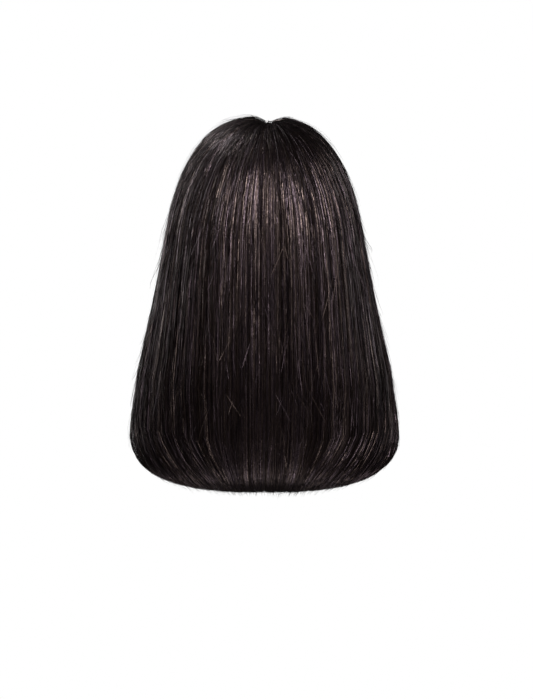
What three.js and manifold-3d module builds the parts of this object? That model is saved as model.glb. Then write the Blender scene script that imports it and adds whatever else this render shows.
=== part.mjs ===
// A straight bob wig with a centre parting, in the shape it has on a head.
// Millimetres, +Z up, the face opening towards -Y, the wearer's left towards +X.
// The origin is the top of the cap's inside, where the crown of a head touches it.
import * as THREE from "three";
import { mergeVertices } from "three/addons/utils/BufferGeometryUtils.js";
import Module from "manifold-3d";

// Head form: the cap's inside, a dome over a slightly drawn-in band
const HEAD_HALF_WIDTH = 77;
const HEAD_HALF_LENGTH = 96;
const HEAD_RISE = 85; // from the widest level up to the crown
const HEAD_BAND = 85; // from the widest level down, past the lowest rim
const HEAD_BAND_TAPER = 0.16; // share of the plan size lost at the foot of the band
const HEAD_POWER = 2.2; // 2 would be an ellipsoid

// Cap
const CAP_WALL = 1.2;
const SEAT_GAP = 0.5; // between the cap and the hair on it
const SEAM_GAP = 0.35; // between neighbouring pieces, side by side
const LACE_HALF_WIDTH = 12;
const LACE_LENGTH = 136; // along the parting, measured along Y from the forehead

// How far the hair stands out from the head form
const COVER_TOP = 15; // above the crown
const COVER_SIDE = 16.5; // at the head's widest level
const COVER_BACK = 17;
const COVER_FRONT = 14;

// How far the hanging hair spreads past its size at the head's widest level
const FLARE_SIDE = 41.5;
const FLARE_BACK = 9;
const FLARE_FRONT = 4;
const HEM_DROP = 333.5; // from the origin down to the hem at the back
const HEM_LIFT = 3; // how much higher the hem lies at the sides and front
const HEM_LIFT_START = 25; // degrees from the back centre where the hem starts to rise
const HEM_LIFT_END = 75; // and where it is at its full height
const CURL_HEIGHT = 37; // the ends curl under over this height above the hem
const CURL_DEPTH = 29; // how far inwards a full quarter turn would take them
const CURL_TURN = 0.95; // the share of its height that they make of that quarter turn
const CURTAIN_WALL = 15; // hanging hair, below the cap
const HEM_WALL = 8;
const HEM_THINNING = 0.7; // share of the fall at which the hair starts to thin
const CURTAIN_BLEND = 45; // below the rim, over which the hair thins to the curtain

// Shape of the crown
const PLAN_POWER = 2.3; // of the hair's plan outline; 2 would be an ellipse
const DOME_PLAN_POWER = 2.7;
const DOME_RISE_POWER = 1.5;
const DOME_FOOT = 0.985; // the dome is cut off at this share of its plan size
const ROOT_CROWDING = 1.3; // above 1, the rows lie closer together near the parting

// Parting and front edges
const PARTING_BACK = 27; // the parting's rear end, behind the origin
const PARTING_FRONT = 93; // its front end, ahead of the origin
const PARTING_OFFSET = 4.4; // from the middle, towards the wearer's right
const PARTING_HALF_WIDTH = 1;
const PARTING_COVER = 0.15; // share of the hair's cover that is left beside the parting
const PARTING_EDGE = 6; // most of the cover comes back over this width,
const PARTING_SLOPE = 16; // and all of it over this one
const PARTING_EDGE_SHARE = 0.6;
const SIDE_ANGLE = 60; // degrees from the back centre to the seam behind an ear
const EDGE_ANGLE = 140; // degrees from the back centre to a front edge
const EDGE_FADE = 24; // degrees over which the hair thins towards a front edge
const EDGE_COVER = 0.45;

// Locks and tips
const BACK_LOCKS = 12;
const SIDE_LOCKS = 8;
const LOCK_DEPTH = 1.5;
const LOCK_SWAY = 0.3; // how far the locks stray from even places, in locks
const LOCK_SWAY_WAVES = 2.5; // along one section of hair
const TIP_DEPTH = 3; // how far the hem rises between two locks
const TIP_POWER = 8; // the higher, the closer to the hem this starts
const COLUMNS_PER_LOCK = 3;
const CROWN_ROWS = 12;
const CURTAIN_ROWS = 14;
const HEM_CROWDING = 1.2; // above 1, the rows lie closer together near the hem
const CAP_SEGMENTS = 40;
const CAP_ROWS = 8;

// The hanging hair in even steps from the head's widest level down to the hem,
// as shares of the flare sizes
const FLARE = [
  { side: 0.0, back: 0.0, front: 0.0 },
  { side: 0.14, back: 0.55, front: 0.5 },
  { side: 0.28, back: 0.75, front: 0.7 },
  { side: 0.43, back: 0.83, front: 0.8 },
  { side: 0.58, back: 0.88, front: 0.88 },
  { side: 0.74, back: 0.95, front: 0.95 },
  { side: 0.89, back: 1.0, front: 1.0 },
  { side: 0.99, back: 1.0, front: 1.0 },
  { side: 1.0, back: 1.0, front: 1.0 },
];

// The cap's rim seen from the side, front to back.
// reach is a share of HEAD_HALF_LENGTH, fall of HEAD_RISE below the crown.
const RIM = [
  { place: "forehead", reach: -1.1, fall: 0.42 },
  { place: "hairline", reach: -0.94, fall: 0.5 },
  { place: "temple", reach: -0.68, fall: 0.86 },
  { place: "ear tab", reach: -0.36, fall: 1.36 },
  { place: "ear tab", reach: -0.24, fall: 1.37 },
  { place: "over the ear", reach: 0.0, fall: 1.16 },
  { place: "behind the ear", reach: 0.3, fall: 1.36 },
  { place: "nape", reach: 0.62, fall: 1.66 },
  { place: "nape", reach: 1.1, fall: 1.74 },
];

const wasm = await Module();
wasm.setup();

const { clamp, degToRad, inverseLerp, lerp, smoothstep } = THREE.MathUtils;

function solidOf(geometry) {
  const bare = geometry.clone();
  bare.deleteAttribute("normal");
  bare.deleteAttribute("uv");
  const merged = mergeVertices(bare, 1e-4);
  return new wasm.Manifold(
    new wasm.Mesh({
      numProp: 3,
      vertProperties: merged.attributes.position.array,
      triVerts: new Uint32Array(merged.index.array),
    }),
  );
}

function geometryOf(solid) {
  const mesh = solid.getMesh();
  const geometry = new THREE.BufferGeometry()
    .setAttribute("position", new THREE.BufferAttribute(mesh.vertProperties, 3))
    .setIndex(new THREE.BufferAttribute(mesh.triVerts, 1));
  geometry.computeVertexNormals();
  return geometry;
}

// The cap's rim height at a place along Y
function rimHeight(y) {
  const reach = clamp(y / HEAD_HALF_LENGTH, RIM[0].reach, RIM.at(-1).reach);
  const next = Math.max(1, RIM.findIndex((row) => row.reach >= reach));
  const [a, b] = [RIM[next - 1], RIM[next]];
  return -HEAD_RISE * lerp(a.fall, b.fall, inverseLerp(a.reach, b.reach, reach));
}

// Share of the head's plan size at a depth below its widest level
function bandShare(depth) {
  return 1 - HEAD_BAND_TAPER * Math.min(1, depth / HEAD_BAND) ** 2;
}

// Where the grown head form lies on the way from the head's core to a point, as a share
function headShare(point, grow) {
  const halfWidth = HEAD_HALF_WIDTH + grow;
  const halfLength = HEAD_HALF_LENGTH + grow;
  const plan = Math.hypot(point.x / halfWidth, point.y / halfLength);
  const above = point.z + HEAD_RISE;
  if (above <= 0) return bandShare(-above) / plan;
  const rise = above / (HEAD_RISE + grow);
  return (plan ** HEAD_POWER + rise ** HEAD_POWER) ** (-1 / HEAD_POWER);
}

// A solid of the head form, grown all round
function headSolid(grow) {
  const halfWidth = HEAD_HALF_WIDTH + grow;
  const profile = [new THREE.Vector2(0, -HEAD_RISE - HEAD_BAND)];
  for (let row = CAP_ROWS; row >= 0; row--) {
    const depth = (HEAD_BAND * row) / CAP_ROWS;
    profile.push(new THREE.Vector2(halfWidth * bandShare(depth), -HEAD_RISE - depth));
  }
  for (let row = 1; row < CAP_ROWS; row++) {
    const rise = Math.sin((row / CAP_ROWS) * (Math.PI / 2));
    const plan = (1 - rise ** HEAD_POWER) ** (1 / HEAD_POWER);
    const height = rise * (HEAD_RISE + grow) - HEAD_RISE;
    profile.push(new THREE.Vector2(halfWidth * plan, height));
  }
  profile.push(new THREE.Vector2(0, grow));
  const lathe = new THREE.LatheGeometry(profile, CAP_SEGMENTS);
  lathe.rotateX(Math.PI / 2);
  lathe.scale(1, (HEAD_HALF_LENGTH + grow) / halfWidth, 1);
  return solidOf(lathe);
}

// The stretch of the head above the rim, as a prism across the head
function aboveRim() {
  const side = new THREE.Shape(
    RIM.map((row) => new THREE.Vector2(row.reach * HEAD_HALF_LENGTH, -row.fall * HEAD_RISE)),
  );
  side.lineTo(RIM.at(-1).reach * HEAD_HALF_LENGTH, HEAD_RISE);
  side.lineTo(RIM[0].reach * HEAD_HALF_LENGTH, HEAD_RISE);
  const width = 3 * HEAD_HALF_WIDTH;
  const prism = new THREE.ExtrudeGeometry(side, { depth: width, bevelEnabled: false });
  prism.translate(0, 0, -width / 2);
  // The shape's X becomes Y and its Y becomes Z, so that the prism runs along X.
  prism.applyMatrix4(new THREE.Matrix4().set(0, 0, 1, 0, 1, 0, 0, 0, 0, 1, 0, 0, 0, 0, 0, 1));
  return solidOf(prism);
}

// The block that the lace strip takes out of the cap, grown all round
function laceBlock(grow) {
  const front = RIM[0].reach * HEAD_HALF_LENGTH;
  const back = LACE_LENGTH - HEAD_HALF_LENGTH + grow;
  const block = new THREE.BoxGeometry(
    2 * (LACE_HALF_WIDTH + grow),
    back - front,
    4 * HEAD_RISE, // far past the top and the rim
  );
  block.translate(0, (front + back) / 2, 0);
  return solidOf(block);
}

// How far inwards the ends curl under. fall is 0 at the head's widest level and 1 at the hem.
function curlAt(fall) {
  const aboveHem = (1 - fall) * (HEM_DROP - HEAD_RISE);
  const turn = clamp(1 - aboveHem / CURL_HEIGHT, 0, 1) * CURL_TURN;
  return CURL_DEPTH * (1 - Math.sqrt(1 - turn ** 2));
}

// The hair's half width and its reaches to the back and the front, below the crown
const flareCurve = new THREE.CatmullRomCurve3(
  FLARE.map((row) => new THREE.Vector3(row.side, row.back, row.front)),
  false,
  "catmullrom",
  0.5,
);

function sectionAt(fall) {
  const spread = flareCurve.getPoint(fall);
  const curl = curlAt(fall);
  return {
    side: HEAD_HALF_WIDTH + COVER_SIDE + spread.x * FLARE_SIDE - curl,
    back: HEAD_HALF_LENGTH + COVER_BACK + spread.y * FLARE_BACK - curl,
    front: HEAD_HALF_LENGTH + COVER_FRONT + spread.z * FLARE_FRONT - curl,
  };
}

// How far out a place lies within a section's plan outline, as a share
function planShare(x, y, section) {
  const reach = y > 0 ? section.back : section.front;
  return Math.hypot(
    Math.abs(x / section.side) ** (PLAN_POWER / 2),
    Math.abs(y / reach) ** (PLAN_POWER / 2),
  ) ** (2 / PLAN_POWER);
}

// The point of a section's plan outline at an angle from the back centre
function outlineAt(angle, section) {
  const turn = degToRad(angle);
  const way = new THREE.Vector2(Math.sin(turn), Math.cos(turn));
  return way.divideScalar(planShare(way.x, way.y, section));
}

// The height of the hair's outside on the crown, over a share of the plan size
const DOME_CUT = (1 - DOME_FOOT ** DOME_PLAN_POWER) ** (1 / DOME_RISE_POWER);

function crownHeight(share) {
  const rise = (1 - (DOME_FOOT * share) ** DOME_PLAN_POWER) ** (1 / DOME_RISE_POWER);
  return lerp(-HEAD_RISE, COVER_TOP, (rise - DOME_CUT) / (1 - DOME_CUT));
}

// Where the hair at an angle round the head leaves the parting
function rootAt(angle) {
  const along = clamp(inverseLerp(SIDE_ANGLE, EDGE_ANGLE, Math.abs(angle)), 0, 1);
  return new THREE.Vector2(-PARTING_OFFSET, lerp(PARTING_BACK, -PARTING_FRONT, along));
}

// The share of the fall at a row: 0 on the crown, 1 at the hem
function fallAt(row) {
  const left = clamp(1 - (row - CROWN_ROWS) / CURTAIN_ROWS, 0, 1);
  return 1 - left ** HEM_CROWDING;
}

// The outside of the full hair: rows run from the parting over the crown to the hem
function fullHair(angle, row) {
  if (row <= CROWN_ROWS) {
    const section = sectionAt(0);
    const root = rootAt(angle);
    const foot = outlineAt(angle, section);
    const share = Math.sin((row / CROWN_ROWS) * (Math.PI / 2)) ** ROOT_CROWDING;
    const place = root.lerp(foot, lerp(PARTING_HALF_WIDTH / root.distanceTo(foot), 1, share));
    const height = crownHeight(planShare(place.x, place.y, section));
    return new THREE.Vector3(place.x, place.y, height);
  }
  const fall = fallAt(row);
  const place = outlineAt(angle, sectionAt(fall));
  const hem = HEM_DROP - HEM_LIFT * smoothstep(Math.abs(angle), HEM_LIFT_START, HEM_LIFT_END);
  return new THREE.Vector3(place.x, place.y, -lerp(HEAD_RISE, hem, fall));
}

// The hair's outer and inner points; ridge is 1 on a lock's back, 0 between two locks
function hairPoints(angle, row, ridge) {
  const outer = fullHair(angle, row);
  const fall = fallAt(row);
  const core = new THREE.Vector3(0, 0, Math.min(outer.z, -HEAD_RISE));
  const inward = core.clone().sub(outer);
  const toCap = inward.length() * (1 - headShare(outer, CAP_WALL + SEAT_GAP));
  inward.normalize();

  const toCurtain = lerp(CURTAIN_WALL, HEM_WALL, smoothstep(fall, HEM_THINNING, 1));
  const rim = rimHeight(outer.y);
  const onCap = smoothstep(outer.z, rim - CURTAIN_BLEND, rim);
  const inner = outer.clone().addScaledVector(inward, lerp(toCurtain, toCap, onCap));

  const fromParting = rootAt(angle).distanceTo(outer);
  const fromEdge = EDGE_ANGLE - Math.abs(angle);
  const risen = lerp(
    smoothstep(fromParting, 0, PARTING_SLOPE),
    smoothstep(fromParting, 0, PARTING_EDGE),
    PARTING_EDGE_SHARE,
  );
  const cover = Math.min(
    lerp(PARTING_COVER, 1, risen),
    lerp(EDGE_COVER, 1, smoothstep(fromEdge, 0, EDGE_FADE)),
  );
  const groove = LOCK_DEPTH * (1 - ridge) * smoothstep(row, 1, CROWN_ROWS);
  outer.lerpVectors(inner, outer, cover).addScaledVector(inward, groove);

  const lift = TIP_DEPTH * (1 - ridge) * fall ** TIP_POWER;
  outer.z += lift;
  inner.z += lift;
  return { outer, inner };
}

// One section of hair as a closed solid between two angles, a lock at a time
function hairGeometry(from, to, locks) {
  const columns = locks * COLUMNS_PER_LOCK;
  const rows = CROWN_ROWS + CURTAIN_ROWS;
  const angleAt = (column) => {
    const lock = column / COLUMNS_PER_LOCK;
    const sway = LOCK_SWAY * Math.sin((lock / locks) * LOCK_SWAY_WAVES * 2 * Math.PI);
    return lerp(from, to, (lock + sway) / locks);
  };
  const positions = [];
  const addPoint = (column, row, side) => {
    const ridge = Math.abs(Math.sin((Math.PI * column) / COLUMNS_PER_LOCK));
    const point = hairPoints(angleAt(column), row, ridge)[side];
    const end = column === 0 ? 1 : column === columns ? -1 : 0;
    if (end !== 0) {
      const next = hairPoints(angleAt(column + end), row, ridge)[side];
      point.add(next.sub(point).setLength(SEAM_GAP / 2));
    }
    positions.push(...point.toArray());
  };
  for (let column = 0; column <= columns; column++) {
    for (let row = 0; row <= rows; row++) addPoint(column, row, "outer");
    for (let row = rows; row >= 0; row--) addPoint(column, row, "inner");
  }

  // Each column is a closed ring: down the outside, and back up the inside.
  const ring = 2 * (rows + 1);
  const index = [];
  const quad = (a, b, c, d) => index.push(a, b, c, a, c, d);
  for (let column = 0; column < columns; column++) {
    for (let step = 0; step < ring; step++) {
      const here = column * ring;
      const after = (step + 1) % ring;
      quad(here + step, here + ring + step, here + ring + after, here + after);
    }
  }
  const last = columns * ring;
  for (let row = 0; row < rows; row++) {
    const inner = ring - 1 - row;
    quad(row, row + 1, inner - 1, inner);
    quad(last + row, last + inner, last + inner - 1, last + row + 1);
  }
  const geometry = new THREE.BufferGeometry();
  geometry.setAttribute("position", new THREE.Float32BufferAttribute(positions, 3));
  geometry.setIndex(index);
  geometry.computeVertexNormals();
  return geometry;
}

const hairMaterial = new THREE.MeshStandardMaterial({ color: 0x2a2124, roughness: 0.4 });
const netMaterial = new THREE.MeshStandardMaterial({ color: 0x1c1a1b, roughness: 0.9 });
const laceMaterial = new THREE.MeshStandardMaterial({ color: 0xc9a184, roughness: 0.8 });

// The cap's two halves meet at the lace strip and at a seam down the back.
const shell = headSolid(CAP_WALL).subtract(headSolid(0)).intersect(aboveRim());
const net = shell.subtract(laceBlock(SEAM_GAP));
const pieces = [
  {
    name: "cap_left",
    geometry: geometryOf(net.trimByPlane([1, 0, 0], SEAM_GAP / 2)),
    material: netMaterial,
  },
  {
    name: "cap_right",
    geometry: geometryOf(net.trimByPlane([-1, 0, 0], SEAM_GAP / 2)),
    material: netMaterial,
  },
  {
    name: "lace_parting",
    geometry: geometryOf(shell.intersect(laceBlock(0))),
    material: laceMaterial,
  },
  {
    name: "hair_back",
    geometry: hairGeometry(-SIDE_ANGLE, SIDE_ANGLE, BACK_LOCKS),
    material: hairMaterial,
  },
  {
    name: "hair_left",
    geometry: hairGeometry(SIDE_ANGLE, EDGE_ANGLE, SIDE_LOCKS),
    material: hairMaterial,
  },
  {
    name: "hair_right",
    geometry: hairGeometry(-EDGE_ANGLE, -SIDE_ANGLE, SIDE_LOCKS),
    material: hairMaterial,
  },
];

const wig = new THREE.Group();
for (const { name, geometry, material } of pieces) {
  const mesh = new THREE.Mesh(geometry, material);
  mesh.name = name;
  wig.add(mesh);
}

export default wig;
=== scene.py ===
"""The looks of a straight bob wig with a centre parting, in metres, +Z up, the face opening to -Y.

Each section of hair is a dark inner mass under thousands of separate strands. Both follow the
form of the solid hair: from the parting, over the crown and down to the hem.
"""

import math

import bpy
import numpy as np
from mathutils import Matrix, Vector


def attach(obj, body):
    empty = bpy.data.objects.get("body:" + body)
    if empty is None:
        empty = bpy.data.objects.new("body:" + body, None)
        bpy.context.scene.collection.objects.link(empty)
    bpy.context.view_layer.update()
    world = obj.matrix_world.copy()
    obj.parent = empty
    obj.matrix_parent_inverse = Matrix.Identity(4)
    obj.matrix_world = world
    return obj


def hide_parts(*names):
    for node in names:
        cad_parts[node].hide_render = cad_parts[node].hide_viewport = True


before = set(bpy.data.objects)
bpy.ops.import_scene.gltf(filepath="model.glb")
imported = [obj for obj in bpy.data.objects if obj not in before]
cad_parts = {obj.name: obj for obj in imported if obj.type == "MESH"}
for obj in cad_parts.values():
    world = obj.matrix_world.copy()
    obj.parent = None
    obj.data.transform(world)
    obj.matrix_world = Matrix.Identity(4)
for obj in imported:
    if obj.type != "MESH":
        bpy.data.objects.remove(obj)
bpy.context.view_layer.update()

# Head form, the inside of the cap
HEAD_HALF_WIDTH = 0.077
HEAD_HALF_LENGTH = 0.096
HEAD_RISE = 0.085  # from the widest level up to the crown
HEAD_BAND = 0.085
HEAD_BAND_TAPER = 0.16
HEAD_POWER = 2.2
CAP_ROOM = 0.0017  # the cap's wall and the gap over it

# The hair's outside
COVER_TOP = 0.015
COVER_SIDE = 0.0165
COVER_BACK = 0.017
COVER_FRONT = 0.014
FLARE_SIDE = 0.0415
FLARE_BACK = 0.009
FLARE_FRONT = 0.004
HEM_DROP = 0.3335
HEM_LIFT = 0.003
HEM_LIFT_ANGLES = (25, 75)
CURL_HEIGHT = 0.037
CURL_DEPTH = 0.029
CURL_TURN = 0.95
CURTAIN_WALL = 0.015
HEM_WALL = 0.008
HEM_THINNING = 0.7
CURTAIN_BLEND = 0.045
PLAN_POWER = 2.3
DOME_PLAN_POWER = 2.7
DOME_RISE_POWER = 1.5
DOME_FOOT = 0.985
ROOT_CROWDING = 1.3

# Parting and front edges; angles in degrees from the back centre
PARTING_BACK = 0.027
PARTING_FRONT = 0.093
PARTING_OFFSET = -0.0044
PARTING_HALF_WIDTH = 0.001
PARTING_COVER = 0.15
PARTING_ROOM = 0.004  # the hair stands up from the lace within this distance
PARTING_STAND = 0.6  # share of its height that it reaches there
PARTING_SLOPE = 0.016
PARTING_SLOPE_POWER = 0.8
SIDE_ANGLE = 60
EDGE_ANGLE = 140
EDGE_FADE = 24
EDGE_COVER = 0.45

# A slight swell of the hair above its ends
SWELL = 0.0028
SWELL_WAYS = (0.5, 0.74, 0.885)  # along a strand: where it starts, is fullest and ends
SWELL_ANGLES = (70, 110)

# Locks
LOCK_DEPTH = 0.0009
LOCK_SWAY = 0.3
LOCK_SWAY_WAVES = 2.5
SECTIONS = {
    "hair_back": {"angles": (-SIDE_ANGLE, SIDE_ANGLE), "locks": 12},
    "hair_left": {"angles": (SIDE_ANGLE, EDGE_ANGLE), "locks": 8},
    "hair_right": {"angles": (-EDGE_ANGLE, -SIDE_ANGLE), "locks": 8},
}

# Shares of the flare sizes in even steps from the head's widest level to the hem:
# side, back, front
FLARE = np.array([
    (0.0, 0.0, 0.0),
    (0.14, 0.55, 0.5),
    (0.28, 0.75, 0.7),
    (0.43, 0.83, 0.8),
    (0.58, 0.88, 0.88),
    (0.74, 0.95, 0.95),
    (0.89, 1.0, 1.0),
    (0.99, 1.0, 1.0),
    (1.0, 1.0, 1.0),
])

# The cap's rim from the side: reach in head half lengths, fall in head rises
RIM = np.array([
    (-1.1, 0.42),
    (-0.94, 0.5),
    (-0.68, 0.86),
    (-0.36, 1.36),
    (-0.24, 1.37),
    (0.0, 1.16),
    (0.3, 1.36),
    (0.62, 1.66),
    (1.1, 1.74),
])

# Way along a strand: 0 at the parting, CROWN_END at the head's widest level, 1 at the hem
CROWN_END = 0.35

rng = np.random.default_rng(7)


def lerp(a, b, share):
    return a + (b - a) * share


def smoothstep(value, low, high):
    share = np.clip((value - low) / (high - low), 0, 1)
    return share * share * (3 - 2 * share)


def catmull_rom(table, share):
    """A smooth curve through evenly spaced rows, at shares from 0 to 1."""
    rows = np.vstack([2 * table[0] - table[1], table, 2 * table[-1] - table[-2]])
    place = share * (len(table) - 1)
    first = np.clip(np.floor(place).astype(int), 0, len(table) - 2)
    w = (place - first)[..., None]
    p0, p1, p2, p3 = (rows[first + step] for step in range(4))
    straight = (p2 - p0) * w
    bend = (2 * p0 - 5 * p1 + 4 * p2 - p3) * w**2
    twist = (3 * p1 - p0 - 3 * p2 + p3) * w**3
    return p1 + (straight + bend + twist) / 2


def curl_at(fall):
    """How far inwards the ends curl under, at a share of the fall."""
    above_hem = (1 - fall) * (HEM_DROP - HEAD_RISE)
    turn = np.clip((1 - above_hem / CURL_HEIGHT) * CURL_TURN, 0, 0.99)
    return CURL_DEPTH * (1 - np.sqrt(1 - turn**2))


def section_at(fall):
    """Half width, back reach and front reach of the hair's outside at a share of its fall."""
    spread = catmull_rom(FLARE, np.clip(fall, 0, 1))
    curl = curl_at(fall)
    side = HEAD_HALF_WIDTH + COVER_SIDE + FLARE_SIDE * spread[..., 0] - curl
    back = HEAD_HALF_LENGTH + COVER_BACK + FLARE_BACK * spread[..., 1] - curl
    front = HEAD_HALF_LENGTH + COVER_FRONT + FLARE_FRONT * spread[..., 2] - curl
    return side, back, front


def plan_share(x, y, section):
    side, back, front = section
    reach = np.where(y > 0, back, front)
    return (np.abs(x / side) ** PLAN_POWER + np.abs(y / reach) ** PLAN_POWER) ** (1 / PLAN_POWER)


def outline_at(angle, section):
    turn = np.radians(angle)
    share = plan_share(np.sin(turn), np.cos(turn), section)
    return np.sin(turn) / share, np.cos(turn) / share


def crown_height(share):
    cut = (1 - DOME_FOOT**DOME_PLAN_POWER) ** (1 / DOME_RISE_POWER)
    rise = (1 - (DOME_FOOT * np.minimum(share, 1)) ** DOME_PLAN_POWER) ** (1 / DOME_RISE_POWER)
    return lerp(-HEAD_RISE, COVER_TOP, (rise - cut) / (1 - cut))


def root_at(angle):
    """Where along Y the hair at an angle leaves the parting."""
    along = np.clip((np.abs(angle) - SIDE_ANGLE) / (EDGE_ANGLE - SIDE_ANGLE), 0, 1)
    return lerp(PARTING_BACK, -PARTING_FRONT, along)


def full_hair(angle, way):
    """The outside of the full hair."""
    widest = section_at(np.zeros_like(way))
    foot_x, foot_y = outline_at(angle, widest)
    root = root_at(angle)
    start = PARTING_HALF_WIDTH / np.hypot(foot_x - PARTING_OFFSET, foot_y - root)
    crown = np.sin(np.clip(way / CROWN_END, 0, 1) * math.pi / 2) ** ROOT_CROWDING
    share = lerp(start, 1, crown)
    crown_x = lerp(PARTING_OFFSET, foot_x, share)
    crown_y = lerp(root, foot_y, share)
    crown_z = crown_height(plan_share(crown_x, crown_y, widest))

    fall = np.maximum((way - CROWN_END) / (1 - CROWN_END), 0)
    fall_x, fall_y = outline_at(angle, section_at(fall))
    hem = HEM_DROP - HEM_LIFT * smoothstep(np.abs(angle), *HEM_LIFT_ANGLES)
    fall_z = -lerp(HEAD_RISE, hem, fall)

    hanging = way > CROWN_END
    x = np.where(hanging, fall_x, crown_x)
    y = np.where(hanging, fall_y, crown_y)
    z = np.where(hanging, fall_z, crown_z)
    return np.stack([x, y, z], axis=-1)


def head_share(points, grow):
    """Where the grown head form lies on the way from the head's core to a point."""
    x, y, z = np.moveaxis(points, -1, 0)
    plan = np.hypot(x / (HEAD_HALF_WIDTH + grow), y / (HEAD_HALF_LENGTH + grow))
    above = z + HEAD_RISE
    taper = HEAD_BAND_TAPER * np.clip(-above / HEAD_BAND, 0, 1) ** 2
    rise = np.maximum(above, 0) / (HEAD_RISE + grow)
    dome = (plan**HEAD_POWER + rise**HEAD_POWER) ** (-1 / HEAD_POWER)
    return np.where(above > 0, dome, (1 - taper) / plan)


def ridge_at(angle):
    """1 on a lock's back, 0 in the groove between two locks."""
    ridge = np.zeros_like(angle)
    for section in SECTIONS.values():
        first, last = section["angles"]
        locks = section["locks"]
        place = (angle - first) / (last - first) * locks
        lock = place
        for _ in range(4):
            sway = LOCK_SWAY * np.sin(lock / locks * LOCK_SWAY_WAVES * 2 * math.pi)
            lock = place - sway
        inside = (angle >= first) & (angle <= last)
        ridge = np.where(inside, np.abs(np.sin(math.pi * lock)), ridge)
    return ridge


def hair_at(angle, way, depth):
    """Points in the hair: depth is 0 on its outside and 1 on its inside."""
    outer = full_hair(angle, way)
    core = np.zeros_like(outer)
    core[..., 2] = np.minimum(outer[..., 2], -HEAD_RISE)
    inward = core - outer
    length = np.linalg.norm(inward, axis=-1)
    inward /= length[..., None]

    fall = np.clip((way - CROWN_END) / (1 - CROWN_END), 0, 1)
    to_cap = length * (1 - head_share(outer, CAP_ROOM))
    to_curtain = lerp(CURTAIN_WALL, HEM_WALL, smoothstep(fall, HEM_THINNING, 1))
    rim = -HEAD_RISE * np.interp(outer[..., 1] / HEAD_HALF_LENGTH, RIM[:, 0], RIM[:, 1])
    on_cap = smoothstep(outer[..., 2], rim - CURTAIN_BLEND, rim)
    thickness = lerp(to_curtain, to_cap, on_cap)

    from_parting = np.hypot(outer[..., 0] - PARTING_OFFSET, outer[..., 1] - root_at(angle))
    stand = PARTING_STAND * np.clip(from_parting / PARTING_ROOM, 0, 1)
    slope = np.clip(from_parting / PARTING_SLOPE, 0, 1) ** PARTING_SLOPE_POWER
    at_parting = np.maximum(PARTING_COVER, stand + (1 - PARTING_STAND) * slope)
    from_edge = EDGE_ANGLE - np.abs(angle)
    at_edge = lerp(EDGE_COVER, 1, smoothstep(from_edge, 0, EDGE_FADE))
    cover = np.minimum(at_parting, at_edge)
    groove = LOCK_DEPTH * (1 - ridge_at(angle)) * smoothstep(way, 0, CROWN_END)
    start, fullest, end = SWELL_WAYS
    swell = SWELL * smoothstep(way, start, fullest) * (1 - smoothstep(way, fullest, end))
    swell = swell * (1 - smoothstep(np.abs(angle), *SWELL_ANGLES))
    skin = thickness * (1 - cover) + groove - swell
    return outer + inward * lerp(skin, thickness, depth)[..., None]


def mesh_object(name, points, faces, smooth=True):
    """A mesh piece from arrays of points and quads."""
    mesh = bpy.data.meshes.new(name)
    mesh.vertices.add(len(points))
    mesh.vertices.foreach_set("co", points.astype(np.float32).ravel())
    mesh.loops.add(faces.size)
    mesh.loops.foreach_set("vertex_index", faces.astype(np.int32).ravel())
    mesh.polygons.add(len(faces))
    mesh.polygons.foreach_set("loop_start", np.arange(0, faces.size, 4, dtype=np.int32))
    mesh.polygons.foreach_set("use_smooth", np.full(len(faces), smooth))
    mesh.update(calc_edges=True)
    piece = bpy.data.objects.new(name, mesh)
    bpy.context.scene.collection.objects.link(piece)
    return piece


def add_uv(piece, uv):
    """A UV map from one place for each vertex."""
    layer = piece.data.uv_layers.new(name="OFBake")
    corners = np.empty(len(piece.data.loops), dtype=np.int32)
    piece.data.loops.foreach_get("vertex_index", corners)
    layer.uv.foreach_set("vector", uv[corners].astype(np.float32).ravel())


def add_float(piece, name, values):
    attribute = piece.data.attributes.new(name, "FLOAT", "POINT")
    attribute.data.foreach_set("value", values.astype(np.float32).ravel())


# Strands: places of their points along them, and their widths
STRAND_STEPS = np.concatenate([
    np.linspace(0, 0.36, 8)[:-1],
    np.linspace(0.36, 0.86, 5)[:-1],
    np.linspace(0.86, 1, 6),
])
INNER_STEPS = np.array([0, 0.09, 0.17, 0.25, 0.35, 0.53, 0.76, 0.86, 0.93, 1])
LOOSE_STEPS = np.linspace(0, 1, 6)
STRAND_WIDTHS = (0.0002, 0.00055)
INNER_WIDTHS = (0.0003, 0.0008)
FLYAWAY_WIDTHS = (0.00022, 0.00042)
THREAD_WIDTHS = (0.0005, 0.0008)
TAPER_ROOT = 0.5
TAPER_TIP = 0.25
TAPER_WAYS = (0.1, 0.85)
CELL_ACROSS = (0.1, 0.9)  # a strand's place in its cell of the UV map
CELL_ALONG = (0.02, 0.98)

# Combed strands; angles in degrees, depth 0 on the hair's outside and 1 on its inside
OUTER_COUNT = 5300  # for each piece
OUTER_DEPTHS = (-0.03, 0.2)
CORE_COUNT = 900  # for each piece
CORE_DEPTHS = (0.2, 1.0)
SECTION_MARGIN = 0.4
SECTION_OVERLAP = 0.5
ROOT_SPREAD = 0.04
ROOT_POWER = 4
TIP_WAY = 0.998
TIP_SPREAD = 0.004
LONG_TIP = 0.012
LONG_TIP_SHARE = 0.02
DRIFT = 0.7
SIDE_WAVE = 0.22
SIDE_TURNS = (1, 3)
DEPTH_WAVE = 0.045
DEPTH_TURNS = (0.7, 3)
CLUMPS = ((0.8, 0.15), (4.0, 0.05))  # width and pull
CLUMP_SWAYS = ((0.3, 1.7), (0.2, 0.61))  # how uneven the clumps are: amount and turns
LOCK_LIFT = 0.05
LIFT_NOISE = (1.8, 5, 0)  # steps for each degree and for the whole way, and its start
LOCK_TONE = 0.15
TONE_NOISE = (1.9, 5, 40)
STRAND_TWIST = 0.45  # radians
LOCK_TWIST = 0.3
TWIST_NOISE = (1.7, 4, 80)
CROWN_TWIST = 0.25  # share of the twist at the parting
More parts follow.
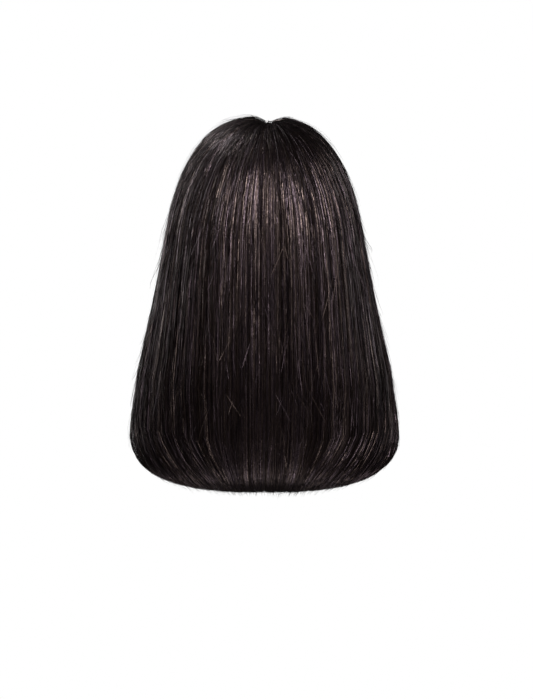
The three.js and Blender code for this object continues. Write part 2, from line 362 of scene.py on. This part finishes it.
CROWN_TWIST_WAYS = (0.1, 0.33)
HEM_SWEEP = 14  # the ends swing towards the back's middle
SWEEP_START = 0.83  # where along a strand
SWEEP_GROWS = (5, 40)  # angles over which it sets in
SWEEP_FADES = (80, 125)  # and dies away

# Strands on the inside
INNER_PER_DEGREE = 22
INNER_START = 0.37  # just below the head's widest level, behind the cap
INNER_END = 0.992
INNER_DEPTHS = (0.87, 0.98)
INNER_DRIFT = 0.8
INNER_SIDE_WAVE = 0.25
INNER_DEPTH_WAVE = 0.015
INNER_TURNS = (1, 3)
INNER_TONES = (0, 0.8)

# Loose hairs
FLYAWAY_COUNT = 3000
FLYAWAY_START = 0.92
FLYAWAY_POWER = 1.3
FLYAWAY_END = 1.012
FLYAWAY_LENGTHS = (0.03, 0.15)
FLYAWAY_LEAN = 3.5
FLYAWAY_DEPTH = -0.03
FLYAWAY_RISE = 0.11
FLYAWAY_MOST = 0.35
FLYAWAY_CURVES = (0.6, 2)
FLYAWAY_TONES = (0.1, 0.75)
FLYAWAY_TWIST = 0.5  # radians

# Lace threads in the notch of the parting
THREAD_COUNT = 30
THREAD_ANGLES = (-50, 8)
THREAD_STARTS = (0.006, 0.03)
THREAD_LENGTHS = (0.015, 0.035)
THREAD_LEAN = 6
THREAD_DEPTH = -0.2

# The dark inner mass
MASS_EDGE = 1.5  # degrees of bare strands at the front edges
MASS_COLUMN = 1.25  # degrees
MASS_ROWS = 44
MASS_WAYS = (0.004, 0.975)
MASS_DEPTHS = (0.2, 0.85)

NOISE_SIZE = 64
NOISE_TABLE = rng.random((NOISE_SIZE, NOISE_SIZE))


def value_noise(x, y):
    """Smooth noise from 0 to 1 over two numbers, one new value for each whole step."""
    x0 = np.floor(x).astype(int)
    y0 = np.floor(y).astype(int)
    share_x = smoothstep(x - x0, 0, 1)
    share_y = smoothstep(y - y0, 0, 1)
    x0, x1 = x0 % NOISE_SIZE, (x0 + 1) % NOISE_SIZE
    y0, y1 = y0 % NOISE_SIZE, (y0 + 1) % NOISE_SIZE
    low = lerp(NOISE_TABLE[x0, y0], NOISE_TABLE[x1, y0], share_x)
    high = lerp(NOISE_TABLE[x0, y1], NOISE_TABLE[x1, y1], share_x)
    return lerp(low, high, share_y)


def lock_noise(angle, way, scales):
    """Smooth noise that is long in the direction of the locks."""
    across, along, start = scales
    return value_noise(angle * across + start, way * along)


def strand_ribbons(name, paths, widths, tone, twist, hue):
    """Join strands, each a narrow ribbon along its path, into one mesh."""
    count, points = paths.shape[:2]
    along = np.gradient(paths, axis=1)
    along /= np.linalg.norm(along, axis=-1, keepdims=True)
    core = np.zeros_like(paths)
    core[..., 2] = np.minimum(paths[..., 2], -HEAD_RISE)
    out = paths - core
    out -= along * np.sum(out * along, axis=-1, keepdims=True)
    out /= np.linalg.norm(out, axis=-1, keepdims=True)
    across = np.cross(along, out)
    across = across * np.cos(twist)[..., None] + out * np.sin(twist)[..., None]

    share = np.linspace(0, 1, points)
    root_end, tip_start = TAPER_WAYS
    root_taper = lerp(TAPER_ROOT, 1, smoothstep(share, 0, root_end))
    taper = root_taper * lerp(1, TAPER_TIP, smoothstep(share, tip_start, 1))
    half = across * (widths[:, None] * taper)[..., None] / 2
    corners = np.stack([paths - half, paths + half], axis=2)

    first = np.arange(count * points).reshape(count, points)[:, :-1].ravel() * 2
    faces = np.stack([first, first + 1, first + 3, first + 2], axis=-1)
    piece = mesh_object(name, corners.reshape(-1, 3), faces)

    columns = math.ceil(math.sqrt(count * 4))
    rows = math.ceil(count / columns)
    cell = np.arange(count)
    u = ((cell % columns)[:, None, None] + np.array(CELL_ACROSS)) / columns
    v = ((cell // columns)[:, None, None] + lerp(*CELL_ALONG, share)[None, :, None]) / rows
    uv = np.stack(np.broadcast_arrays(u, v), axis=-1)
    add_uv(piece, uv.reshape(-1, 2))
    add_float(piece, "tone", np.repeat(tone.ravel(), 2))
    add_float(piece, "strand", np.repeat(np.arange(count, dtype=float), points * 2))
    add_float(piece, "along", np.tile(np.repeat(share, 2), count))
    hues = np.repeat(hue, points - 1).astype(np.int32)
    piece.data.polygons.foreach_set("material_index", hues)
    return piece


def waves(count, steps, amount, low, high):
    """A wave of each strand's own along its length, with low to high turns."""
    turns = rng.uniform(low, high, (count, 1))
    phase = rng.uniform(0, 2 * math.pi, (count, 1))
    return amount * np.sin(2 * math.pi * turns * steps[None, :] + phase)


def sweep(angle, way):
    """How far the ends swing towards the back's middle, in degrees."""
    size = np.abs(angle)
    reach = smoothstep(size, *SWEEP_GROWS) * (1 - smoothstep(size, *SWEEP_FADES))
    return -np.sign(angle) * HEM_SWEEP * reach * smoothstep(way, SWEEP_START, 1.0)


def clump(angle, size, pull):
    """Draw angles towards the middles of uneven clumps, more towards the tips."""
    even = angle / size
    place = even
    for amount, turns in CLUMP_SWAYS:
        place = place + amount * np.sin(even * turns)
    off_middle = (place - np.floor(place) - 0.5) * size
    return -pull * off_middle[:, None] * STRAND_STEPS[None, :] ** 2


def combed(count, angles, depths):
    """Smooth strands in a section: paths, widths, tone, twist and hue."""
    first_angle, last_angle = angles
    angle = rng.uniform(first_angle + SECTION_MARGIN, last_angle - SECTION_MARGIN, count)
    start = ROOT_SPREAD * rng.random(count) ** ROOT_POWER
    end = TIP_WAY + rng.normal(0, TIP_SPREAD, count)
    end = end + np.where(rng.random(count) < LONG_TIP_SHARE, LONG_TIP, 0)
    way = lerp(start[:, None], end[:, None], STRAND_STEPS[None, :])
    drift = rng.normal(0, DRIFT, (count, 1)) * STRAND_STEPS
    drift = drift + waves(count, STRAND_STEPS, SIDE_WAVE, *SIDE_TURNS)
    angles = angle[:, None] + drift
    for size, pull in CLUMPS:
        angles = angles + clump(angle, size, pull)
    angles = np.clip(angles, first_angle - SECTION_OVERLAP, last_angle + SECTION_OVERLAP)
    angles = np.clip(angles, -EDGE_ANGLE, EDGE_ANGLE)
    angles = angles + sweep(angles, way)
    lift = LOCK_LIFT * (lock_noise(angles, way, LIFT_NOISE) - 0.5)
    depth = rng.uniform(*depths, count)[:, None]
    depth = depth + waves(count, STRAND_STEPS, DEPTH_WAVE, *DEPTH_TURNS) + lift
    paths = hair_at(angles, way, depth)
    widths = rng.uniform(*STRAND_WIDTHS, count)
    lock = lock_noise(angles, way, TONE_NOISE)
    tone = (1 - LOCK_TONE) * rng.random(count)[:, None] + LOCK_TONE * lock
    lock_turn = lock_noise(angles, way, TWIST_NOISE) - 0.5
    twist = rng.normal(0, STRAND_TWIST, count)[:, None] + LOCK_TWIST * lock_turn
    twist = twist * lerp(CROWN_TWIST, 1, smoothstep(way, *CROWN_TWIST_WAYS))
    hue = rng.integers(0, 2, count)
    return paths, widths, tone, twist, hue


def inner(count, angles):
    """Strands on the inside, from behind the cap's rim to the hem."""
    first_angle, last_angle = angles
    angle = rng.uniform(first_angle + SECTION_MARGIN, last_angle - SECTION_MARGIN, count)
    end = INNER_END + rng.normal(0, TIP_SPREAD, count)
    way = lerp(INNER_START, end[:, None], INNER_STEPS[None, :])
    angles = angle[:, None] + rng.normal(0, INNER_DRIFT, (count, 1)) * INNER_STEPS
    angles = angles + waves(count, INNER_STEPS, INNER_SIDE_WAVE, *INNER_TURNS)
    angles = np.clip(angles, -EDGE_ANGLE, EDGE_ANGLE)
    angles = angles + sweep(angles, way)
    depth = rng.uniform(*INNER_DEPTHS, (count, 1))
    depth = depth + waves(count, INNER_STEPS, INNER_DEPTH_WAVE, *INNER_TURNS)
    paths = hair_at(angles, way, depth)
    widths = rng.uniform(*INNER_WIDTHS, count)
    tone = np.broadcast_to(rng.uniform(*INNER_TONES, (count, 1)), way.shape)
    twist = np.broadcast_to(rng.normal(0, STRAND_TWIST, (count, 1)), way.shape)
    return paths, widths, tone, twist, rng.integers(0, 2, count)


def flyaways(count):
    """Short loose hairs that stand off the surface or cross the others."""
    angle = rng.uniform(-EDGE_ANGLE, EDGE_ANGLE, count)
    start = FLYAWAY_START * rng.random(count) ** FLYAWAY_POWER
    end = np.minimum(start + rng.uniform(*FLYAWAY_LENGTHS, count), FLYAWAY_END)
    way = lerp(start[:, None], end[:, None], LOOSE_STEPS[None, :])
    lean = rng.normal(0, FLYAWAY_LEAN, (count, 1)) * LOOSE_STEPS
    angles = angle[:, None] + lean + sweep(angle[:, None], way)
    angles = np.clip(angles, -EDGE_ANGLE, EDGE_ANGLE)
    off = rng.exponential(FLYAWAY_RISE, (count, 1))
    off = off * LOOSE_STEPS ** rng.uniform(*FLYAWAY_CURVES, (count, 1))
    paths = hair_at(angles, way, FLYAWAY_DEPTH - np.minimum(off, FLYAWAY_MOST))
    widths = rng.uniform(*FLYAWAY_WIDTHS, count)
    tone = np.broadcast_to(rng.uniform(*FLYAWAY_TONES, (count, 1)), way.shape)
    twist = np.broadcast_to(rng.normal(0, FLYAWAY_TWIST, (count, 1)), way.shape)
    return paths, widths, tone, twist, rng.integers(0, 2, count)


def lace_threads(count):
    """Pale ends of the lace's threads where the parting opens at the back of the crown."""
    angle = rng.uniform(*THREAD_ANGLES, count)
    start = rng.uniform(*THREAD_STARTS, count)
    end = start + rng.uniform(*THREAD_LENGTHS, count)
    way = lerp(start[:, None], end[:, None], LOOSE_STEPS[None, :])
    angles = angle[:, None] + rng.normal(0, THREAD_LEAN, (count, 1)) * LOOSE_STEPS
    paths = hair_at(angles, way, np.full(way.shape, THREAD_DEPTH))
    widths = rng.uniform(*THREAD_WIDTHS, count)
    tone = np.broadcast_to(rng.random((count, 1)), way.shape)
    return paths, widths, tone, np.zeros(way.shape), np.zeros(count)


def enter_piece(piece, section, materials):
    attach(piece, "root")
    if section:
        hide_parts(section)
    for material in materials:
        piece.data.materials.append(material)


def add_strands(name, section, materials, groups):
    """One mesh piece from groups of strands."""
    piece = strand_ribbons(name, *(np.concatenate(part) for part in zip(*groups)))
    enter_piece(piece, section, materials)


def add_mass(name, section, angles, material):
    """The dark inside of a section, a closed shell a little within its strands."""
    first_angle, last_angle = angles
    columns = int((last_angle - first_angle) / MASS_COLUMN)
    front = EDGE_ANGLE - MASS_EDGE
    angle = np.linspace(max(first_angle, -front), min(last_angle, front), columns + 1)
    way = np.linspace(*MASS_WAYS, MASS_ROWS + 1)
    angle, way = np.broadcast_arrays(angle[:, None], way[None, :])
    outside, inside = (hair_at(angle, way, np.full(way.shape, depth)) for depth in MASS_DEPTHS)
    rings = np.concatenate([outside, inside[:, ::-1]], axis=1)
    ring = rings.shape[1]
    place = np.arange(ring)
    column = np.arange(columns)[:, None] * ring
    here = column + place
    after = column + (place + 1) % ring
    walls = np.stack([here, here + ring, after + ring, after], axis=-1).reshape(-1, 4)
    row = np.arange(MASS_ROWS)
    first_end = np.stack([row, row + 1, ring - 2 - row, ring - 1 - row], axis=-1)
    last_end = first_end[:, ::-1] + columns * ring
    faces = np.concatenate([walls, first_end, last_end])
    piece = mesh_object(name, rings.reshape(-1, 3), faces)
    u = np.linspace(0, 1, columns + 1)[:, None]
    v = np.linspace(0, 1, ring)[None, :]
    add_uv(piece, np.stack(np.broadcast_arrays(u, v), axis=-1).reshape(-1, 2))
    enter_piece(piece, section, [material])


# Looks: dark, light and sheen colours
HAIR_HUES = {
    "hair_brown": (
        (0.0010, 0.0006, 0.0005, 1), (0.0065, 0.0036, 0.0030, 1), (1.0, 0.73, 0.66, 1),
    ),
    "hair_violet": (
        (0.0008, 0.0005, 0.0006, 1), (0.0055, 0.0031, 0.0038, 1), (0.97, 0.71, 0.82, 1),
    ),
}
HAIR_ROUGHNESS = (0.4, 0.22)
THREAD_LOOKS = ((0.3, 0.24, 0.22, 1), (0.6, 0.5, 0.46, 1), (1, 1, 1, 1))
THREAD_ROUGHNESS = (0.8, 0.6)
STREAKS_APART = 7.3  # from one strand to the next
STREAKS_ALONG = 100
STREAK_NOISE = (0.25, 0.75)
STREAK_TONES = (0.5, 1.35)
STREAK_SHINE = 2.2
STREAK_GLOSS = (0.08, 1.5)
HAIR_BUMP = (0.6, 0.0006)  # strength and height
MASS_LOOKS = ((0.002, 0.0015, 0.0015, 1), (0.012, 0.008, 0.008, 1))
MASS_ROUGHNESS = (0.6, 0.4)
MASS_STREAKS = (240, 3, 1)
NET = ((0.008, 0.007, 0.0075, 1), (0.075, 0.068, 0.072, 1))
NET_PITCH = 0.0016
TRACK_PITCH = 0.011
TRACK_EDGES = (0.75, 0.95)
TRACK_TONE = 0.1
TRACK_UNEVEN = 0.4
LACE = ((0.40, 0.27, 0.20, 1), (0.66, 0.49, 0.39, 1))
LACE_PITCH = 0.0012
WEAVE_UNEVEN = 0.3
WOVEN_ROUGHNESS = (0.9, 0.65)
WOVEN_BUMP = (0.5, 0.0005)
BANDS_SCALE = math.pi / 10  # the wave texture's scale for bands one unit apart


def new_material(name):
    material = bpy.data.materials.new(name)
    material.use_nodes = True
    return material, material.node_tree, material.node_tree.nodes["Principled BSDF"]


def linked_node(tree, kind, settings=None, inputs=None):
    """A node with its settings made and its inputs set or linked."""
    node = tree.nodes.new(kind)
    for name, value in (settings or {}).items():
        setattr(node, name, value)
    for name, value in (inputs or {}).items():
        if isinstance(value, bpy.types.NodeSocket):
            tree.links.new(value, node.inputs[name])
        else:
            node.inputs[name].default_value = value
    return node


def math_node(tree, operation, first, second, clamp=False):
    settings = {"operation": operation, "use_clamp": clamp}
    return linked_node(tree, "ShaderNodeMath", settings, {0: first, 1: second}).outputs[0]


def mapped(tree, value, low, high, span=(0, 1)):
    """A value of a span brought to low and high."""
    inputs = {"Value": value, "To Min": low, "To Max": high}
    inputs["From Min"], inputs["From Max"] = span
    return linked_node(tree, "ShaderNodeMapRange", None, inputs).outputs["Result"]


def noise(tree, place):
    inputs = {"Vector": place, "Scale": 1.0, "Detail": 3.0}
    return linked_node(tree, "ShaderNodeTexNoise", None, inputs).outputs["Fac"]


def bands(tree, place, direction, pitch, distortion):
    """Even bands from 0 to 1 and back, one for each pitch."""
    wave = linked_node(
        tree, "ShaderNodeTexWave",
        {"wave_type": "BANDS", "bands_direction": direction, "wave_profile": "SIN"},
        {"Vector": place, "Scale": BANDS_SCALE / pitch, "Distortion": distortion},
    )
    return wave.outputs["Fac"]


def link_surface(tree, shader, colours, share, roughness, height, bump):
    """Colour between two by a share, roughness and bump, all from nodes."""
    dark, light = colours
    settings = {"data_type": "RGBA"}
    colour = linked_node(tree, "ShaderNodeMix", settings, {0: share, 6: dark, 7: light})
    tree.links.new(colour.outputs[2], shader.inputs["Base Color"])
    tree.links.new(roughness, shader.inputs["Roughness"])
    strength, distance = bump
    normal = linked_node(
        tree, "ShaderNodeBump", None,
        {"Height": height, "Strength": strength, "Distance": distance},
    )
    tree.links.new(normal.outputs["Normal"], shader.inputs["Normal"])


def strand_material(name, looks, roughness):
    """Glossy strands, each with its own tone, broken into short streaks along its length."""
    dark, light, sheen_tint = looks
    material, tree, shader = new_material(name)
    tone, strand, along = (
        linked_node(tree, "ShaderNodeAttribute", {"attribute_name": attribute}).outputs["Fac"]
        for attribute in ("tone", "strand", "along")
    )
    across = math_node(tree, "MULTIPLY", strand, STREAKS_APART)
    length = math_node(tree, "MULTIPLY", along, STREAKS_ALONG)
    place = linked_node(tree, "ShaderNodeCombineXYZ", None, {0: across, 1: length})
    streaks = noise(tree, place.outputs[0])
    uneven = mapped(tree, streaks, *STREAK_TONES, STREAK_NOISE)
    lit = math_node(tree, "MULTIPLY", tone, uneven, clamp=True)
    shine = math_node(tree, "POWER", lit, STREAK_SHINE)
    rough = mapped(tree, lit, *roughness)
    link_surface(tree, shader, (dark, light), shine, rough, streaks, HAIR_BUMP)
    tree.links.new(mapped(tree, shine, *STREAK_GLOSS), shader.inputs["Specular IOR Level"])
    shader.inputs["Specular Tint"].default_value = sheen_tint
    return material


def mass_material():
    """Dark hair seen between the strands, with streaks along it."""
    material, tree, shader = new_material("hair_mass")
    place = linked_node(tree, "ShaderNodeUVMap", {"uv_map": "OFBake"})
    stretch = linked_node(
        tree, "ShaderNodeMapping", None,
        {"Vector": place.outputs["UV"], "Scale": MASS_STREAKS},
    )
    streaks = noise(tree, stretch.outputs["Vector"])
    rough = mapped(tree, streaks, *MASS_ROUGHNESS)
    link_surface(tree, shader, MASS_LOOKS, streaks, rough, streaks, HAIR_BUMP)
    return material


def woven_material(name, colours, pitch, track_pitch=None):
    """A fine net of crossing threads, with sewn tracks across it if they have a pitch."""
    material, tree, shader = new_material(name)
    place = linked_node(tree, "ShaderNodeTexCoord").outputs["Object"]
    slanting = bands(tree, place, "DIAGONAL", pitch, WEAVE_UNEVEN)
    level = bands(tree, place, "Z", pitch, WEAVE_UNEVEN)
    height = math_node(tree, "MAXIMUM", slanting, level)
    if track_pitch:
        tracks = bands(tree, place, "Z", track_pitch, TRACK_UNEVEN)
        sunk = mapped(tree, tracks, 1.0, TRACK_TONE, TRACK_EDGES)
        height = math_node(tree, "MULTIPLY", height, sunk)
    rough = mapped(tree, height, *WOVEN_ROUGHNESS)
    link_surface(tree, shader, colours, height, rough, height, WOVEN_BUMP)
    return material


def dress_node(name, material):
    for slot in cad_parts[name].material_slots:
        slot.material = material


# Stage
CAMERA_PLACE = (-0.002, 1.5, 0.044)
CAMERA_PITCH = 9.76  # degrees down
CAMERA_LENS = 78.7
FLOOR_HEIGHT = -1.1
FLOOR_SIZE = 4.0
FLOOR_FADE = (0.6, 1.4)  # from its middle
FLOOR_TONE = (0.95, 0.95, 0.95, 1)
FLOOR_ROUGHNESS = 0.9
WORLD_LIGHT = 0.4
WORLD_GLOSS = 0.04  # how bright the studio looks in the hair's gloss

# Place, target, size and power in watts
LIGHTS = {
    "key": ((-0.35, 1.5, 0.85), (0, 0.1, -0.1), (1.3, 1.4), 48),
    "behind": ((-0.1, 2.0, -0.1), (0, 0.1, -0.18), (1.2, 0.3), 4),
    "left": ((1.5, -0.35, 0.3), (0, 0, -0.15), (0.9, 1.2), 11),
    "right": ((-1.5, -0.35, 0.3), (0, 0, -0.15), (0.9, 1.2), 8),
    "crown": ((0.7, -0.45, 1.15), (0, 0, 0), (0.5, 0.9), 8),
    "low": ((0, 0.62, -1.05), (0, 0.1, -0.3), (1.0, 0.8), 5),
    "front": ((0.3, -1.5, -0.45), (0, 0, -0.1), (1.2, 1.0), 9),
}


def add_camera():
    data = bpy.data.cameras.new("camera")
    data.lens = CAMERA_LENS
    data.clip_end = 50
    camera = bpy.data.objects.new("camera", data)
    camera.location = CAMERA_PLACE
    camera.rotation_euler = (math.radians(90 - CAMERA_PITCH), 0, math.pi)
    bpy.context.scene.collection.objects.link(camera)
    bpy.context.scene.camera = camera


def add_light(name, place, target, size, power):
    data = bpy.data.lights.new(name, "AREA")
    data.shape = "RECTANGLE"
    data.size, data.size_y = size
    data.energy = power
    light = bpy.data.objects.new(name, data)
    light.location = place
    light.rotation_euler = (Vector(place) - Vector(target)).to_track_quat("Z", "Y").to_euler()
    light.visible_camera = False
    bpy.context.scene.collection.objects.link(light)


def add_floor():
    """A pale floor that fades into the white studio."""
    corners = FLOOR_SIZE * np.array([(-1, -1, 0), (1, -1, 0), (1, 1, 0), (-1, 1, 0)])
    corners[:, 2] = FLOOR_HEIGHT
    floor = mesh_object("floor", corners, np.array([[0, 1, 2, 3]]), smooth=False)
    floor.visible_glossy = False
    material, tree, shader = new_material("pale_floor")
    shader.inputs["Base Color"].default_value = FLOOR_TONE
    shader.inputs["Roughness"].default_value = FLOOR_ROUGHNESS
    place = linked_node(tree, "ShaderNodeTexCoord")
    distance = linked_node(tree, "ShaderNodeVectorMath", {"operation": "LENGTH"})
    tree.links.new(place.outputs["Object"], distance.inputs[0])
    fade = mapped(tree, distance.outputs["Value"], 1.0, 0.0, FLOOR_FADE)
    tree.links.new(fade, shader.inputs["Alpha"])
    floor.data.materials.append(material)


def add_world():
    """A white studio that stays dim in the hair's gloss."""
    world = bpy.data.worlds.new("studio")
    bpy.context.scene.world = world
    world.use_nodes = True
    tree = world.node_tree
    background = tree.nodes["Background"]
    seen = linked_node(tree, "ShaderNodeLightPath")
    unseen = mapped(tree, seen.outputs["Is Glossy Ray"], WORLD_LIGHT, WORLD_GLOSS)
    strength = math_node(tree, "MAXIMUM", seen.outputs["Is Camera Ray"], unseen)
    tree.links.new(strength, background.inputs["Strength"])
    background.inputs["Color"].default_value = (1, 1, 1, 1)
    bpy.context.scene.view_settings.view_transform = "Standard"


add_camera()
add_world()
add_floor()
for light_name, light in LIGHTS.items():
    add_light(light_name, *light)

hair = [strand_material(name, looks, HAIR_ROUGHNESS) for name, looks in HAIR_HUES.items()]
thread = strand_material("lace_thread", THREAD_LOOKS, THREAD_ROUGHNESS)
mass = mass_material()
net = woven_material("net_weave", NET, NET_PITCH, TRACK_PITCH)
lace = woven_material("lace_weave", LACE, LACE_PITCH)
dress_node("cap_left", net)
dress_node("cap_right", net)
dress_node("lace_parting", lace)

# The strand pieces of each section, with their angles
STRAND_PIECES = {
    "hair_back": (
        ("hair_back_strands_a", (-SIDE_ANGLE, 0)),
        ("hair_back_strands_b", (0, SIDE_ANGLE)),
    ),
    "hair_left": (("hair_left_strands", (SIDE_ANGLE, EDGE_ANGLE)),),
    "hair_right": (("hair_right_strands", (-EDGE_ANGLE, -SIDE_ANGLE)),),
}
for section, pieces in STRAND_PIECES.items():
    add_mass(section + "_mass", section, SECTIONS[section]["angles"], mass)
    for name, angles in pieces:
        add_strands(name, section, hair, [
            combed(OUTER_COUNT, angles, OUTER_DEPTHS),
            combed(CORE_COUNT, angles, CORE_DEPTHS),
        ])
for section in STRAND_PIECES:
    angles = SECTIONS[section]["angles"]
    count = int((angles[1] - angles[0]) * INNER_PER_DEGREE)
    add_strands(section + "_inside", section, hair, [inner(count, angles)])
add_strands("flyaways", None, hair, [flyaways(FLYAWAY_COUNT)])
add_strands("lace_threads", None, [thread], [lace_threads(THREAD_COUNT)])
